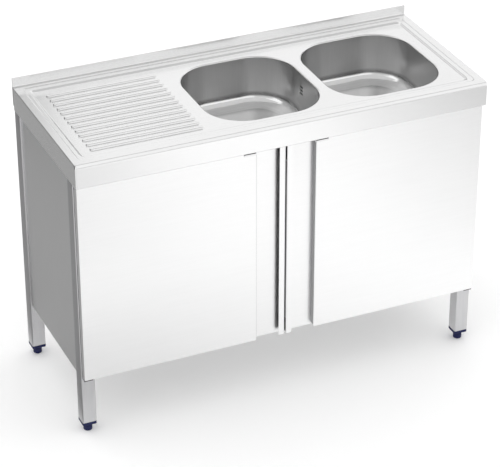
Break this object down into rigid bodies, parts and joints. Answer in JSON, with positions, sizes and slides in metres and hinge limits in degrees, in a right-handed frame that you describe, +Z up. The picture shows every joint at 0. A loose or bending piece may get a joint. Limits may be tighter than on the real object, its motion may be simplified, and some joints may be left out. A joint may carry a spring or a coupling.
{
  "type": "sink cabinet",
  "caption": "Stainless steel sink cabinet: ribbed drainer and pressed bowls in a stepped top with upstand, above a base with hinged grip-strip doors, on square legs with screw feet.",
  "frame": {"origin": "on the floor, below the middle of the object's bounding box", "axes": "+X to the right as seen from the doors, +Y to the wall behind, +Z up; the doors face -Y"},
  "size_m": [1.2, 0.5, 0.878],
  "materials": {
    "top_steel": "satin pressed stainless sheet",
    "bowl_steel": "brushed drawn stainless sheet",
    "leg_steel": "satin stainless tube",
    "panel_steel": "satin folded stainless sheet",
    "door_steel": "satin folded stainless sheet",
    "pin_steel": "plain turned and cut steel",
    "navy_plastic": "moulded, slightly glossy",
    "white_plastic": "moulded",
    "black_rubber": "matt",
    "grey_nylon": "moulded"
  },
  "bodies": {
    "cabinet": {"worktop": "top_steel", "upstand": "top_steel", "apron_return": "top_steel", "bowl_left": "bowl_steel", "bowl_right": "bowl_steel", "overflow_duct": "white_plastic", "waste_flange_left": "bowl_steel", "waste_flange_right": "bowl_steel", "waste_strainer_left": "bowl_steel", "waste_strainer_right": "bowl_steel", "waste_gasket_left": "black_rubber", "waste_gasket_right": "black_rubber", "waste_tail_left": "white_plastic", "waste_tail_right": "white_plastic", "leg_front_left": "leg_steel", "leg_front_right": "leg_steel", "leg_rear_left": "leg_steel", "leg_rear_right": "leg_steel", "plug_front_left": "navy_plastic", "plug_front_right": "navy_plastic", "plug_rear_left": "navy_plastic", "plug_rear_right": "navy_plastic", "rail_front": "panel_steel", "rail_rear": "panel_steel", "side_panel_left": "panel_steel", "side_panel_right": "panel_steel", "back_panel": "panel_steel", "bottom_shelf": "panel_steel", "hinge_plate_bottom_left": "pin_steel", "hinge_plate_bottom_right": "pin_steel", "hinge_plate_top_left": "pin_steel", "hinge_plate_top_right": "pin_steel", "hinge_pin_bottom_left": "pin_steel", "hinge_pin_bottom_right": "pin_steel", "hinge_pin_top_left": "pin_steel", "hinge_pin_top_right": "pin_steel", "catch_left": "white_plastic", "catch_right": "white_plastic", "bumper_left": "black_rubber", "bumper_right": "black_rubber"},
    "left_door": {"door_skin_left": "door_steel", "door_grip_left": "door_steel", "door_liner_left": "door_steel", "hinge_bush_bottom_left": "grey_nylon", "hinge_bush_top_left": "grey_nylon", "strike_left": "pin_steel"},
    "right_door": {"door_skin_right": "door_steel", "door_grip_right": "door_steel", "door_liner_right": "door_steel", "hinge_bush_bottom_right": "grey_nylon", "hinge_bush_top_right": "grey_nylon", "strike_right": "pin_steel"},
    "front_left_foot": {"foot_front_left": "navy_plastic"},
    "front_right_foot": {"foot_front_right": "navy_plastic"},
    "rear_left_foot": {"foot_rear_left": "navy_plastic"},
    "rear_right_foot": {"foot_rear_right": "navy_plastic"}
  },
  "joints": [
    {"name": "left_door_hinge", "type": "hinge", "parent": "cabinet", "child": "left_door", "pos_m": [-0.5896, -0.2285, 0.184], "axis": [0, 0, -1], "range_deg": [0, 110]},
    {"name": "right_door_hinge", "type": "hinge", "parent": "cabinet", "child": "right_door", "pos_m": [0.5896, -0.2285, 0.184], "axis": [0, 0, 1], "range_deg": [0, 110]},
    {"name": "front_left_foot_screw", "type": "slide", "parent": "cabinet", "child": "front_left_foot", "axis": [0, 0, -1], "range_m": [0, 0.02]},
    {"name": "front_right_foot_screw", "type": "slide", "parent": "cabinet", "child": "front_right_foot", "axis": [0, 0, -1], "range_m": [0, 0.02]},
    {"name": "rear_left_foot_screw", "type": "slide", "parent": "cabinet", "child": "rear_left_foot", "axis": [0, 0, -1], "range_m": [0, 0.02]},
    {"name": "rear_right_foot_screw", "type": "slide", "parent": "cabinet", "child": "rear_right_foot", "axis": [0, 0, -1], "range_m": [0, 0.02]}
  ]
}
